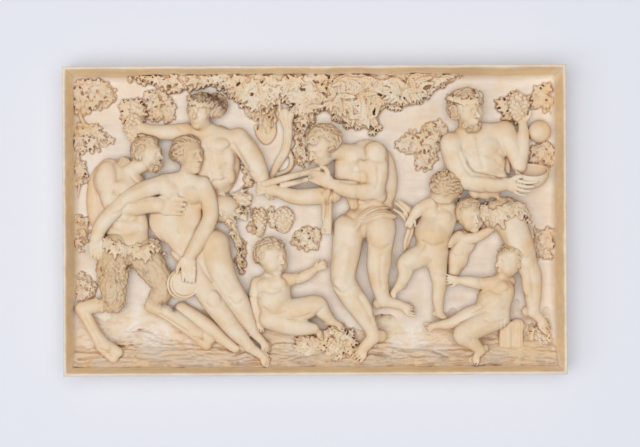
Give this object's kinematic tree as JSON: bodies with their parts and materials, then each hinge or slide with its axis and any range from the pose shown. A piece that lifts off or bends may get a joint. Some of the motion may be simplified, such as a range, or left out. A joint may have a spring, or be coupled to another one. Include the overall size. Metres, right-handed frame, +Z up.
{
  "type": "ivory relief plaque",
  "caption": "Oblong ivory wall plaque: a bacchanal of figures, putti and vines carved in relief inside a raised, cove-sided rim.",
  "frame": {"origin": "centre of the flat back, where the plaque lies against the wall", "axes": "+X along the length to the viewer's right, +Y out of the flat back into the wall, +Z up; the carving faces -Y"},
  "size_m": [0.165, 0.014, 0.1014],
  "materials": {
    "ivory": "polished old ivory with a warm patina in the hollows"
  },
  "bodies": {
    "root": {"relief_plaque": "ivory"}
  },
  "joints": []
}
